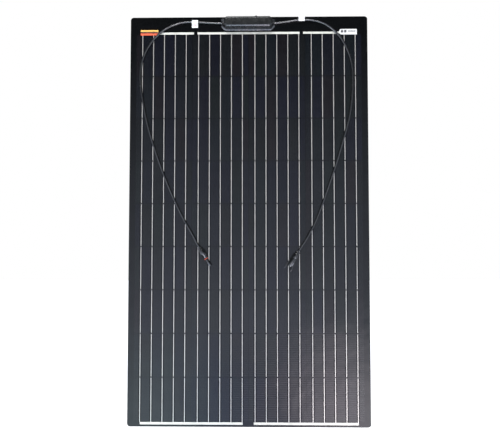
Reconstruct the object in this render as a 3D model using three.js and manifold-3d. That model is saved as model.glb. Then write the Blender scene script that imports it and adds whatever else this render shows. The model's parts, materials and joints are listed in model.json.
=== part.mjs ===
// A flexible solar sheet: 36 cells laminated between a backing board and a clear film, a low junction
// box bonded to the front at the middle of the top edge, and two leads that end in couplers.
// The sheet stands upright in the XZ plane: its back is the plane y = 0 and its front looks to -Y.
// The origin is on the back, behind the middle of the fifth row of cells. Lengths are millimetres.
import * as THREE from "three";
import { mergeVertices } from "three/addons/utils/BufferGeometryUtils.js";
import Module from "manifold-3d";

const wasm = await Module();
wasm.setup();

// Cells: four strings side by side, nine cells long.
const COLUMNS = 4;
const ROWS = 9;
const CELL_WIDTH = 156;
const CELL_HEIGHT = 117;
const COLUMN_PITCH = 157.65;
const ROW_PITCH = 119;
const RIBBONS_PER_CELL = 5;
const RIBBON_PITCH = 30.65;
const RIBBON_WIDTH = 2.2;

// Sheet outline. Each row of the laminate is a rigid strip, and neighbours keep ROW_GAP between them.
const SHEET_WIDTH = 664;
const SHEET_TOP = 585;
const SHEET_BOTTOM = -550;
const SHEET_CORNER = 8;
const ROW_GAP = 0.4;

// Layers, as distances in front of the back plane.
const BOARD_FRONT = 1.2;
const CELL_BACK = 1.25;
const WEB_FRONT = 1.33;
const CELL_FRONT = 1.45;
const RIBBON_FRONT = 1.6;
const FILM_BACK = 1.7;
const FILM_FRONT = 2.5;
const LAYER_GAP = 0.05;
const LABEL_THICKNESS = 0.15;

// Bus ribbons, along the top and the bottom of the strings: [first x, last x].
const TOP_BUS = { low: 536, high: 542, spans: [[-299, -153.5], [-143.5, 142.5], [152.5, 299]] };
const BOTTOM_BUS = { low: -544, high: -537.5, spans: [[-297, -16], [14, 298.5]] };

// Junction box.
const BOX_X = -1.2;
const BOX_Z = 566.6;
const BOX_LENGTH = 135;
const BOX_WIDTH = 28.4;
const BOX_CHAMFER = 7;
const BOX_WALL = 2;
const BOX_BACK = FILM_FRONT + LAYER_GAP;
const BOX_FLOOR = BOX_BACK + 1.5;
const BOX_RIM = 17.4;
const GASKET_WIDTH = 1.4;
const GASKET_FRONT = 18.2;
const LID_BACK = 18.25;
const LID_FRONT = 21.5;
const LID_BEVEL = 4.2;
const LID_EDGE = 0.8;
const SKIRT_BACK = 14.8;
const SKIRT_WALL = 1.2;
const TAB_X = 21;
const POTTING_STEP = 14.5;
const POTTING_FRONT = 17.8;
const FIT = 0.3;

// Leads, with the strain reliefs that they leave the box through and the couplers that they end in.
const LEAD_RADIUS = 3;
const LEAD_SIDES = 8;
const LEAD_STEPS = 78;
const LEAD_EXIT = { y: -7.5, z: 564.5 };
const RELIEF_RADIUS = 4.5;
const RELIEF_LENGTH = 4.7;
const RELIEF_SIDES = 16;
const SEALANT = { west: -78, east: 75, low: 545, high: 573.5, cut: 10, front: 5.2 };
const COUPLER_SEGMENTS = 20;
const COUPLER_Y = -12.1;
const LEAD_IN_NUT = 9.7;
const LEFT_COUPLER = { x: -134.8, z: -62.6, axis: [0.529, 0, -0.848] };
const RIGHT_COUPLER = { x: 136, z: -74, axis: [-0.527, 0, -0.85] };
const LEFT_ROUTE = [
  [-74, -7.5, 564.5], [-91.3, -7.3, 565.4], [-110.2, -6.3, 566.6], [-128.9, -6, 567.9],
  [-142.7, -6, 568.7], [-161.4, -6, 569.5], [-175.9, -6, 569], [-192.4, -6, 566.9], [-222.5, -6, 556.1],
  [-246.6, -6, 541.1], [-268.7, -6, 518.5], [-286, -6, 491.6], [-295.9, -6, 469.3], [-301.5, -6, 447.1],
  [-303.5, -6, 424], [-302.3, -6, 400.5], [-299.3, -6, 370.4], [-293.2, -6, 334.1], [-284.3, -6, 290.7],
  [-271, -6, 242.6], [-254.7, -6, 192.5], [-235.6, -6, 140.2], [-215.1, -6, 90.5], [-194.9, -6.8, 46.7],
  [-173.8, -8.6, 6.2], [-155.2, -10.8, -25.4],
];
const RIGHT_ROUTE = [
  [71.6, -7.5, 564.5], [85.7, -7.3, 565.8], [101, -6.5, 567.9], [119.8, -6, 570.9], [138.2, -6, 573.3],
  [159.3, -6, 574.1], [180.9, -6, 572.1], [206.7, -6, 565], [225.4, -6, 554.7], [241.7, -6, 541.3],
  [256, -6, 525.1], [267.8, -6, 505.7], [277.7, -6, 483.7], [284.8, -6, 462.3], [288.7, -6, 437.9],
  [289.4, -6, 411.1], [288.9, -6, 380.9], [286, -6, 346.5], [280.8, -6, 310], [270.9, -6, 267.8],
  [257.9, -6, 222.6], [244.6, -6, 178.1], [230.7, -6, 135.9], [215.5, -6, 92.7], [199.8, -6.4, 48.3],
  [182.8, -8, 7.1], [162.4, -10.6, -32.4],
];

// Tapes that hold the leads, and the labels.
const TAPE_THICKNESS = 0.2;
const TAPE_CLEARANCE = 0.35;
const TAPE_SLACK = 1.1;
const TAPE_FOOT = 5;
const LEAD_ON_FILM = -6;
const LEFT_TAPE = { x: -159.6, width: 17.2, low: 555, high: 577, crown: 569.1 };
const RIGHT_TAPE = { x: 139.8, width: 17.1, crown: 573.9, behind: 577 };
const FRONT_LABELS = {
  label_left: [-303.5, 534, -254, 549],
  label_right: [252.7, 533.5, 302.5, 549],
};
const REAR_LABEL = [-50, 484, 50, 548];

function finish(color, roughness, metalness = 0) {
  return new THREE.MeshStandardMaterial({ color, roughness, metalness });
}
const BOARD = finish(0x1b1c1e, 0.6);
const SILICON = finish(0x141a24, 0.3);
const FILM = finish(0x20262b, 0.25);
const TINNED_COPPER = finish(0xb9b7b0, 0.4, 0.8);
const BLACK_PLASTIC = finish(0x17191b, 0.45);
const SILICONE = finish(0x1d2124, 0.2);
const RESIN = finish(0x101113, 0.3);
const RUBBER = finish(0x1a1b1c, 0.7);
const RED_RUBBER = finish(0xc4472a, 0.5);
const CABLE = finish(0x151719, 0.45);
const PAPER = finish(0xf2f1ee, 0.8);
const LABEL = finish(0xd9a32c, 0.6);

const sheet = new THREE.Group();

function add(name, geometry, material, group = sheet) {
  const mesh = new THREE.Mesh(geometry, material);
  mesh.name = name;
  group.add(mesh);
}

// Joins and cuts.
function solid(geometry) {
  const bare = geometry.index ? geometry.toNonIndexed() : geometry.clone();
  bare.deleteAttribute("normal");
  bare.deleteAttribute("uv");
  const merged = mergeVertices(bare, 1e-3);
  const triVerts = new Uint32Array(merged.index.array);
  const vertProperties = merged.attributes.position.array;
  return new wasm.Manifold(new wasm.Mesh({ numProp: 3, vertProperties, triVerts }));
}

function surface(manifold) {
  const mesh = manifold.getMesh();
  const geometry = new THREE.BufferGeometry();
  geometry.setAttribute("position", new THREE.BufferAttribute(mesh.vertProperties, 3));
  geometry.setIndex(new THREE.BufferAttribute(mesh.triVerts, 1));
  return geometry;
}

function join(first, ...others) {
  return surface(others.reduce((whole, other) => whole.add(solid(other)), solid(first)));
}

function cut(first, ...tools) {
  return surface(tools.reduce((whole, tool) => whole.subtract(solid(tool)), solid(first)));
}

// An outline drawn in x and z, made into a plate between two distances in front of the back plane.
function plate(shape, back, front) {
  const options = { depth: front - back, bevelEnabled: false, curveSegments: 6 };
  return new THREE.ExtrudeGeometry(shape, options).rotateX(Math.PI / 2).translate(0, -back, 0);
}

function outline(points) {
  return new THREE.Shape(points.map(([x, z]) => new THREE.Vector2(x, z)));
}

function rectangle(west, low, east, high) {
  return outline([[west, low], [east, low], [east, high], [west, high]]);
}

function block(west, low, east, high, back, front) {
  return plate(rectangle(west, low, east, high), back, front);
}

// A profile of [y, z] points carried along x from the given start.
function alongX(points, start, length) {
  const shape = new THREE.Shape(points.map(([y, z]) => new THREE.Vector2(-z, y)));
  const geometry = new THREE.ExtrudeGeometry(shape, { depth: length, bevelEnabled: false });
  return geometry.rotateY(Math.PI / 2).translate(start, 0, 0);
}

// The laminate, one strip for each row of cells. Row 1 is at the top.
function rowCentre(row) {
  return ((ROWS + 1) / 2 - row) * ROW_PITCH;
}

function rowEdges(row) {
  const low = row === ROWS ? SHEET_BOTTOM : rowCentre(row) - ROW_PITCH / 2 + ROW_GAP / 2;
  const high = row === 1 ? SHEET_TOP : rowCentre(row) + ROW_PITCH / 2 - ROW_GAP / 2;
  return [low, high];
}

function rowOutline(row) {
  const [low, high] = rowEdges(row);
  const side = SHEET_WIDTH / 2;
  const shape = new THREE.Shape();
  if (row === ROWS) {
    shape.absarc(side - SHEET_CORNER, low + SHEET_CORNER, SHEET_CORNER, -Math.PI / 2, 0);
  } else {
    shape.moveTo(side, low);
  }
  if (row === 1) {
    shape.lineTo(side, high - SHEET_CORNER);
    shape.absarc(side - SHEET_CORNER, high - SHEET_CORNER, SHEET_CORNER, 0, Math.PI / 2);
    shape.absarc(-side + SHEET_CORNER, high - SHEET_CORNER, SHEET_CORNER, Math.PI / 2, Math.PI);
  } else {
    shape.lineTo(side, high);
    shape.lineTo(-side, high);
  }
  if (row === ROWS) {
    shape.absarc(-side + SHEET_CORNER, low + SHEET_CORNER, SHEET_CORNER, Math.PI, Math.PI * 1.5);
  } else {
    shape.lineTo(-side, low);
  }
  return shape;
}

// Four cells with their ribbons, held together by the thin encapsulant between them. The section
// in x and y is the same all the way down the row.
function cellRow(row) {
  const half = (COLUMNS * COLUMN_PITCH - (COLUMN_PITCH - CELL_WIDTH)) / 2;
  const section = [[-half, -CELL_BACK], [half, -CELL_BACK]];
  for (let column = COLUMNS - 1; column >= 0; column--) {
    const centre = (column - (COLUMNS - 1) / 2) * COLUMN_PITCH;
    if (column < COLUMNS - 1) section.push([centre + CELL_WIDTH / 2, -WEB_FRONT]);
    section.push([centre + CELL_WIDTH / 2, -CELL_FRONT]);
    for (let ribbon = RIBBONS_PER_CELL - 1; ribbon >= 0; ribbon--) {
      const middle = centre + (ribbon - (RIBBONS_PER_CELL - 1) / 2) * RIBBON_PITCH;
      section.push([middle + RIBBON_WIDTH / 2, -CELL_FRONT]);
      section.push([middle + RIBBON_WIDTH / 2, -RIBBON_FRONT]);
      section.push([middle - RIBBON_WIDTH / 2, -RIBBON_FRONT]);
      section.push([middle - RIBBON_WIDTH / 2, -CELL_FRONT]);
    }
    section.push([centre - CELL_WIDTH / 2, -CELL_FRONT]);
    if (column > 0) section.push([centre - CELL_WIDTH / 2, -WEB_FRONT]);
  }
  const geometry = new THREE.ExtrudeGeometry(outline(section), { depth: CELL_HEIGHT, bevelEnabled: false });
  return geometry.translate(0, 0, rowCentre(row) - CELL_HEIGHT / 2);
}

function addLaminate() {
  for (let row = 1; row <= ROWS; row++) {
    add("backsheet_" + row, plate(rowOutline(row), 0, BOARD_FRONT), BOARD);
    add("cell_row_" + row, cellRow(row), SILICON);
    add("front_film_" + row, plate(rowOutline(row), FILM_BACK, FILM_FRONT), FILM);
  }
  const addBus = (bus, names) => {
    bus.spans.forEach(([west, east], i) => {
      add(names[i], block(west, bus.low, east, bus.high, CELL_BACK, RIBBON_FRONT), TINNED_COPPER);
    });
  };
  addBus(TOP_BUS, ["bus_ribbon_top_left", "bus_ribbon_top_middle", "bus_ribbon_top_right"]);
  addBus(BOTTOM_BUS, ["bus_ribbon_bottom_left", "bus_ribbon_bottom_right"]);
}

// The junction box: an outline with cut corners, drawn smaller by inset.
function boxOutline(inset) {
  const halfLength = BOX_LENGTH / 2 - inset;
  const halfWidth = BOX_WIDTH / 2 - inset;
  const chamfer = BOX_CHAMFER - inset * (2 - Math.SQRT2);
  const corners = [
    [halfLength, halfWidth - chamfer], [halfLength - chamfer, halfWidth],
    [chamfer - halfLength, halfWidth], [-halfLength, halfWidth - chamfer],
    [-halfLength, chamfer - halfWidth], [chamfer - halfLength, -halfWidth],
    [halfLength - chamfer, -halfWidth], [halfLength, chamfer - halfWidth],
  ];
  return outline(corners.map(([x, z]) => [BOX_X + x, BOX_Z + z]));
}

function boxRing(outer, inner, back, front) {
  const shape = boxOutline(outer);
  shape.holes.push(boxOutline(inner));
  return plate(shape, back, front);
}

function boxLid() {
  const depth = LID_EDGE;
  const bevel = LID_FRONT - LID_BACK - LID_EDGE;
  const options = { depth, bevelThickness: bevel, bevelSize: LID_BEVEL, bevelSegments: 1 };
  const pillow = new THREE.ExtrudeGeometry(boxOutline(LID_BEVEL), options);
  pillow.rotateX(Math.PI / 2).translate(0, -LID_BACK, 0);
  const reach = BOX_LENGTH;
  const behind = block(BOX_X - reach, BOX_Z - reach, BOX_X + reach, BOX_Z + reach, 0, LID_BACK);
  const skirt = boxRing(BOX_WALL + FIT, BOX_WALL + FIT + SKIRT_WALL, SKIRT_BACK, LID_BACK + LAYER_GAP);
  const top = BOX_Z + BOX_WIDTH / 2;
  const tab = block(TAB_X - 2.5, top - 1, TAB_X + 2.5, top + 1.6, LID_BACK, LID_BACK + LID_EDGE);
  return join(cut(pillow, behind), skirt, tab);
}

// Parts that lie on the floor of the box, under the potting: [middle x, length, middle z, width, front].
const TERMINALS = {
  terminal_positive: [-41.2, 9, 566.6, 13, 7],
  terminal_middle: [-1.2, 9, 566.6, 13, 7],
  terminal_negative: [38.8, 9, 566.6, 13, 7],
};
const DIODES = {
  bypass_diode_left: [-21.2, 16, 566.6, 10, 9.5],
  bypass_diode_right: [18.8, 16, 566.6, 10, 9.5],
};

function onFloor([x, length, z, width, front], gap = 0) {
  const halfLength = length / 2 + gap;
  const halfWidth = width / 2 + gap;
  const back = gap ? BOX_FLOOR - 1 : BOX_FLOOR + LAYER_GAP;
  return block(x - halfLength, z - halfWidth, x + halfLength, z + halfWidth, back, front + gap);
}

function addJunctionBox() {
  const hollow = plate(boxOutline(BOX_WALL), BOX_FLOOR, BOX_RIM + 1);
  add("junction_box_base", cut(plate(boxOutline(0), BOX_BACK, BOX_RIM), hollow), BLACK_PLASTIC);
  add("lid_gasket", boxRing(0.3, 0.3 + GASKET_WIDTH, BOX_RIM + LAYER_GAP, GASKET_FRONT), RUBBER);
  add("junction_box_lid", boxLid(), BLACK_PLASTIC);
  const fill = plate(boxOutline(BOX_WALL + LAYER_GAP), BOX_FLOOR + LAYER_GAP, POTTING_STEP);
  const crown = plate(boxOutline(BOX_WALL + 2 * FIT + SKIRT_WALL), POTTING_STEP - 1, POTTING_FRONT);
  const inside = [...Object.values(TERMINALS), ...Object.values(DIODES)];
  add("potting", cut(join(fill, crown), ...inside.map((part) => onFloor(part, FIT))), RESIN);
  Object.entries(TERMINALS).forEach(([name, part]) => add(name, onFloor(part), TINNED_COPPER));
  Object.entries(DIODES).forEach(([name, part]) => add(name, onFloor(part), BLACK_PLASTIC));
  addReliefsAndSealant();
}

function lyingCylinder(radius, west, east, sides) {
  const geometry = new THREE.CylinderGeometry(radius, radius, east - west, sides);
  return geometry.rotateZ(Math.PI / 2).translate((west + east) / 2, LEAD_EXIT.y, LEAD_EXIT.z);
}

function addReliefsAndSealant() {
  const west = BOX_X - BOX_LENGTH / 2 - FIT;
  const east = BOX_X + BOX_LENGTH / 2 + FIT;
  add("strain_relief_left", lyingCylinder(RELIEF_RADIUS, west - RELIEF_LENGTH, west, RELIEF_SIDES), RUBBER);
  add("strain_relief_right", lyingCylinder(RELIEF_RADIUS, east, east + RELIEF_LENGTH, RELIEF_SIDES), RUBBER);
  const { west: left, east: right, low, high, cut: corner, front } = SEALANT;
  const bead = outline([
    [left, high], [left, low + corner], [left + corner, low],
    [right - corner, low], [right, low + corner], [right, high],
  ]);
  const footprint = plate(boxOutline(-FIT), 0, front + 1);
  const above = block(west + BOX_CHAMFER, BOX_Z, east - BOX_CHAMFER, SHEET_TOP + 1, 0, front + 1);
  const room = RELIEF_RADIUS + FIT;
  const leftWay = lyingCylinder(room, left - 20, west + 1, RELIEF_SIDES);
  const rightWay = lyingCylinder(room, east - 1, right + 20, RELIEF_SIDES);
  const slab = plate(bead, FILM_FRONT + LAYER_GAP, front);
  add("sealant_bead", cut(slab, footprint, above, leftWay, rightWay), SILICONE);
}

// Couplers are drawn along their own +Y, from the back of the nut to the tip, with x to one side in the
// sheet's plane and z towards the front.
const NUT_LENGTH = 21;
const NUT_RADIUS = 8.8;
const NUT_CAP_RADIUS = 6.3;
const NUT_CAP_LENGTH = 6;
const LEAD_HOLE = LEAD_RADIUS + 0.4;
const SPIGOT_RADIUS = 6.2;
const SPIGOT_START = 10;
const NOSE_RADIUS = 4.2;
const GROOVE = { radius: 3.4, start: 34, end: 36.8 };
const COUPLER_LENGTH = 58;
const CONTACT_BORE = 2.6;
const MOUTH_RADIUS = 5.7;
const MOUTH_FLOOR = 27;
const MOUTH_END = 47;
const SHELL_RADIUS = 9;
const RECESS_AT = 7;
const ARM = { start: 30, width: 6, inner: 8.5, outer: 10.3, barb: 11.6 };

function lathe(profile, segments = COUPLER_SEGMENTS) {
  return new THREE.LatheGeometry(profile.map(([r, y]) => new THREE.Vector2(r, y)), segments);
}

function nut() {
  const bore = SPIGOT_RADIUS + FIT;
  return lathe([
    [LEAD_HOLE, 0], [NUT_CAP_RADIUS - 1, 0], [NUT_CAP_RADIUS, 1.5], [NUT_CAP_RADIUS, NUT_CAP_LENGTH],
    [NUT_RADIUS, NUT_CAP_LENGTH + 1.5], [NUT_RADIUS, NUT_LENGTH], [bore, NUT_LENGTH],
    [bore, SPIGOT_START - FIT], [LEAD_HOLE, SPIGOT_START - FIT], [LEAD_HOLE, 0],
  ]);
}

function slimHousing() {
  const shoulder = NUT_LENGTH + FIT;
  return lathe([
    [0, SPIGOT_START], [SPIGOT_RADIUS, SPIGOT_START], [SPIGOT_RADIUS, shoulder], [NUT_RADIUS, shoulder],
    [NUT_RADIUS, 24.5], [6.6, 25.5], [6.6, 32.5], [5.6, GROOVE.start], [GROOVE.radius, GROOVE.start],
    [GROOVE.radius, GROOVE.end], [NOSE_RADIUS, GROOVE.end], [NOSE_RADIUS, COUPLER_LENGTH - 1.5],
    [NOSE_RADIUS - 0.8, COUPLER_LENGTH], [CONTACT_BORE, COUPLER_LENGTH], [CONTACT_BORE, GROOVE.end],
    [0, GROOVE.end],
  ]);
}

function wideHousing() {
  const shoulder = NUT_LENGTH + FIT;
  const shell = lathe([
    [0, SPIGOT_START], [SPIGOT_RADIUS, SPIGOT_START], [SPIGOT_RADIUS, shoulder], [NUT_RADIUS, shoulder],
    [SHELL_RADIUS, shoulder + 2], [SHELL_RADIUS, MOUTH_END - 1], [SHELL_RADIUS - 1, MOUTH_END],
    [MOUTH_RADIUS, MOUTH_END], [MOUTH_RADIUS, MOUTH_FLOOR], [0, MOUTH_FLOOR],
  ]);
  const depth = SHELL_RADIUS - RECESS_AT + 1;
  const length = MOUTH_END - ARM.start + 2 * FIT + 2;
  const recess = (side) => {
    const tool = new THREE.BoxGeometry(depth, length, ARM.width + 2 * FIT);
    return tool.translate(side * (RECESS_AT + depth / 2), ARM.start - FIT + length / 2, 0);
  };
  const pinHole = new THREE.CylinderGeometry(1.9 + FIT, 1.9 + FIT, 6, 12).translate(0, MOUTH_FLOOR, 0);
  return cut(shell, recess(1), recess(-1), pinHole);
}

function latchArm(side) {
  const { start, width, inner, outer, barb } = ARM;
  const points = [
    [inner - 1, start], [outer, start], [outer, COUPLER_LENGTH - 7], [barb, COUPLER_LENGTH - 6.5],
    [outer - 0.3, COUPLER_LENGTH], [inner, COUPLER_LENGTH], [inner, start + 3], [inner - 1, start + 2],
  ].map(([x, y]) => new THREE.Vector2(side * x, y));
  const geometry = new THREE.ExtrudeGeometry(new THREE.Shape(points), { depth: width, bevelEnabled: false });
  return geometry.translate(0, 0, -width / 2);
}

function coupler({ x, z, axis }) {
  const group = new THREE.Group();
  const along = new THREE.Vector3(...axis).normalize();
  const front = new THREE.Vector3(0, -1, 0);
  const side = along.clone().cross(front);
  group.setRotationFromMatrix(new THREE.Matrix4().makeBasis(side, along, front));
  group.position.set(x, COUPLER_Y, z);
  sheet.add(group);
  return group;
}

function addCouplers() {
  const left = coupler(LEFT_COUPLER);
  add("coupler_left_nut", nut(), BLACK_PLASTIC, left);
  add("coupler_left_housing", slimHousing(), BLACK_PLASTIC, left);
  const ring = new THREE.TorusGeometry(GROOVE.radius + FIT + 1, 1, 6, COUPLER_SEGMENTS).rotateX(Math.PI / 2);
  add("coupler_left_o_ring", ring.translate(0, (GROOVE.start + GROOVE.end) / 2, 0), RED_RUBBER, left);
  const socket = lathe([[0, 37.2], [2.2, 37.2], [2.2, 56], [1.8, 56.5], [1.2, 56.5], [1.2, 40], [0, 40]], 12);
  add("coupler_left_contact", socket, TINNED_COPPER, left);
  const right = coupler(RIGHT_COUPLER);
  add("coupler_right_nut", nut(), BLACK_PLASTIC, right);
  add("coupler_right_housing", wideHousing(), BLACK_PLASTIC, right);
  add("coupler_right_latch_upper", latchArm(1), BLACK_PLASTIC, right);
  add("coupler_right_latch_lower", latchArm(-1), BLACK_PLASTIC, right);
  const pin = lathe([[0, MOUTH_FLOOR - 2.5], [1.9, MOUTH_FLOOR - 2.5], [1.9, 42], [1.2, 44], [0, 44.5]], 12);
  add("coupler_right_pin", pin, TINNED_COPPER, right);
}

// A lead runs from its strain relief over the sheet and straight into the nut of its coupler.
function lead(route, { x, z, axis }) {
  const tail = [-9, 0, LEAD_IN_NUT].map((t) => [x + axis[0] * t, COUPLER_Y, z + axis[2] * t]);
  const points = [...route, ...tail].map((point) => new THREE.Vector3(...point));
  const corners = [];
  for (let side = 0; side < LEAD_SIDES; side++) {
    const turn = (side / LEAD_SIDES) * 2 * Math.PI;
    corners.push(new THREE.Vector2(LEAD_RADIUS * Math.cos(turn), LEAD_RADIUS * Math.sin(turn)));
  }
  const options = { steps: LEAD_STEPS, extrudePath: new THREE.CatmullRomCurve3(points) };
  return new THREE.ExtrudeGeometry(new THREE.Shape(corners), options);
}

// A strip of the given thickness on the front side of a line of [y, z] points that runs upwards.
function tapeSection(line, thickness) {
  const raised = line.map(([y, z], i) => {
    const [y0, z0] = line[Math.max(i - 1, 0)];
    const [y1, z1] = line[Math.min(i + 1, line.length - 1)];
    const length = Math.hypot(y1 - y0, z1 - z0);
    return [y - (thickness * (z1 - z0)) / length, z + (thickness * (y1 - y0)) / length];
  });
  return [...line, ...raised.reverse()];
}

// The arch of a tape over a lead. It is wider than the lead, which slopes a little under the tape.
function overLead(crown, start = -0.25, steps = 7) {
  const rise = LEAD_RADIUS + TAPE_CLEARANCE;
  const spread = LEAD_RADIUS + TAPE_SLACK;
  const arch = [];
  for (let step = 0; step <= steps; step++) {
    const turn = start + (step / steps) * (Math.PI + 0.25 - start);
    arch.push([LEAD_ON_FILM - rise * Math.sin(turn), crown - spread * Math.cos(turn)]);
  }
  return arch;
}

function addTapesAndLabels() {
  const face = -FILM_FRONT - LAYER_GAP;
  const { x, width, low, high, crown } = LEFT_TAPE;
  const leftLine = [[face, low], [face, crown - TAPE_FOOT], ...overLead(crown), [face, crown + TAPE_FOOT], [face, high]];
  add("tape_left", alongX(tapeSection(leftLine, TAPE_THICKNESS), x, width), PAPER);
  const right = RIGHT_TAPE;
  const rim = SHEET_TOP + LAYER_GAP;
  const rightLine = [...overLead(right.crown, 0.6), [face, right.crown + TAPE_FOOT], [face, rim]];
  rightLine.push([LAYER_GAP, rim], [LAYER_GAP, right.behind]);
  add("tape_right", alongX(tapeSection(rightLine, TAPE_THICKNESS), right.x, right.width), PAPER);
  Object.entries(FRONT_LABELS).forEach(([name, edges]) => {
    add(name, block(...edges, FILM_FRONT + LAYER_GAP, FILM_FRONT + LAYER_GAP + LABEL_THICKNESS), LABEL);
  });
  add("rear_label", block(...REAR_LABEL, -LAYER_GAP - LABEL_THICKNESS, -LAYER_GAP), PAPER);
}

addLaminate();
addJunctionBox();
addCouplers();
add("lead_left", lead(LEFT_ROUTE, LEFT_COUPLER), CABLE);
add("lead_right", lead(RIGHT_ROUTE, RIGHT_COUPLER), CABLE);
addTapesAndLabels();

export default sheet;
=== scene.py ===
"""The looks of a flexible solar sheet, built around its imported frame.

Lengths are millimetres in the frame's own axes: x to the right, y to the back, z up. The sheet's front
looks to -y."""

import json
import math
import random

import bmesh
import bpy
from mathutils import Matrix, Vector, noise


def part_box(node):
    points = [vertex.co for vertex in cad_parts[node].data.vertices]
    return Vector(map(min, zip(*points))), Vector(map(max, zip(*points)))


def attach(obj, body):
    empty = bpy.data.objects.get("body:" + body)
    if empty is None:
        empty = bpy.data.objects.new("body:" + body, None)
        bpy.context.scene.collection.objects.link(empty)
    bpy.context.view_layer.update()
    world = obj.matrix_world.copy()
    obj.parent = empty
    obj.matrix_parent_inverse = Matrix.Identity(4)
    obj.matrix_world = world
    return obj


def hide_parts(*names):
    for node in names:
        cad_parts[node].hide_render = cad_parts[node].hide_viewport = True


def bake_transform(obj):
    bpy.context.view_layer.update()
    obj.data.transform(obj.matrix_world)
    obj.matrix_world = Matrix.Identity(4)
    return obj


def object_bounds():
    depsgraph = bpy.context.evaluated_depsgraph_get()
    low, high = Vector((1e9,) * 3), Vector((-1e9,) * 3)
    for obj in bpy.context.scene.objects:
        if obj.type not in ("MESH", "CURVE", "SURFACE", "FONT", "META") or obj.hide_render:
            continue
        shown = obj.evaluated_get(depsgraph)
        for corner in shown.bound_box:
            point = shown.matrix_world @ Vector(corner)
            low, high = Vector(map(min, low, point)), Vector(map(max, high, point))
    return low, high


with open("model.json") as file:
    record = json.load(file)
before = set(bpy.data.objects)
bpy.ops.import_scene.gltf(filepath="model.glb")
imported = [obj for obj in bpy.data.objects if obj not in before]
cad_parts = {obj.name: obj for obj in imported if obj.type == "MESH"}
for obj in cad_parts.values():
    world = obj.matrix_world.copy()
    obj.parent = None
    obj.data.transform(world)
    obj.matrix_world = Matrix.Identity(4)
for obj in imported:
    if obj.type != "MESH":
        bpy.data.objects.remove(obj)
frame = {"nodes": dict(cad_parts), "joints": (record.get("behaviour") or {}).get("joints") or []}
cad_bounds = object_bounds()
JOINTS = {joint["name"]: joint for joint in frame["joints"]}
MM = 0.001
SHARP_ANGLE = 35

# The photograph's view, a little below and to the right of the middle of the sheet.
CAMERA_PLACE = (33.3, -1700.2, -77.4)
CAMERA_TURN = (math.radians(92.842), 0, math.radians(0.997))
CAMERA_LENS = 44.3

# How bright the room is by height of the direction looked in, from straight down (-1) to straight up (1).
# It is dark underneath, then a bright band low down, and fades upwards, so that the sheet darkens from its
# foot to its top.
ROOM = [
    (-1.0, 0.12), (-0.72, 0.2), (-0.68, 12.0), (-0.57, 12.0), (-0.53, 3.2), (-0.4, 3.6), (-0.25, 2.7),
    (-0.17, 2.2), (-0.1, 1.75), (-0.03, 1.36), (0.045, 1.08), (0.117, 0.84), (0.186, 0.6), (0.253, 0.4),
    (0.317, 0.2), (0.38, 0.07), (0.55, 0.06), (0.8, 0.36), (1.0, 0.6),
]
ROOM_TINT = (0.92, 1.0, 1.19)
ROOM_PEAK = 12.0

# How the low part of the room differs from left (-1) to right (1). GLOW_HEIGHTS are where that starts and
# where it is full.
GLOW = [
    (-0.6, (0.6, 0.6, 0.6)), (-0.155, (0.98, 1.10, 1.04)), (-0.065, (0.54, 0.62, 0.74)),
    (0.027, (0.66, 0.60, 0.66)), (0.118, (2.2, 1.88, 1.78)), (0.19, (2.2, 2.0, 1.85)),
    (0.36, (0.4, 0.4, 0.4)),
]
GLOW_PEAK = 2.2
GLOW_HEIGHTS = (-0.1, -0.2)

TOP_LIGHT_PLACE = (-0.25, -2.3, 2.9)
TOP_LIGHT_TARGET = (0, 0, 0.5)
TOP_LIGHT_SIZE = (1.8, 0.45)
TOP_LIGHT_WATTS = 110

FLOOR_REACH = 9000
FLOOR_THICKNESS = 20

# Surfaces of the laminate, as distances in front of its back. The flanks are strips of film beside a
# ribbon, made dark and less mirroring as painted shade.
BOARD_FRONT = 1.25
FILM_FRONT = 2.43
CELL_FRONT = 2.46
FLANK_FRONT = 2.47
RIBBON_FRONT = 2.5
EDGE_ROUND = 0.35
# The front has a row of points this far inside its edges, which keeps the rounding's shading off the face.
EDGE_MARGIN = 1
CORNER_RADIUS = 8
SLICE = 9

COLUMNS = 4
ROWS = 9
COLUMN_PITCH = 157.65
CELL_WIDTH = 156
RIBBON_PITCH = 30.65
RIBBON_WIDTH = 2.3
RIBBON_BREAK = 1.6
RIBBONS_PER_CELL = 5
FLANK_WIDTH = 7.6

# The cell's fine grid lines, and the broader stripes that they make in the lower right. Pitches in mm.
GRID_PITCH = 1.45
GRID_SHARE = 0.085
STRIPE_PITCH = 5.9
STRIPE_WEIGHT = 0.34

LEAD_RADIUS = 3
LEAD_SIDES = 20
# A height this far above the nut's joint, passed on for the last stretch of a lead and not used there.
ABOVE_NUT = 9
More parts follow.
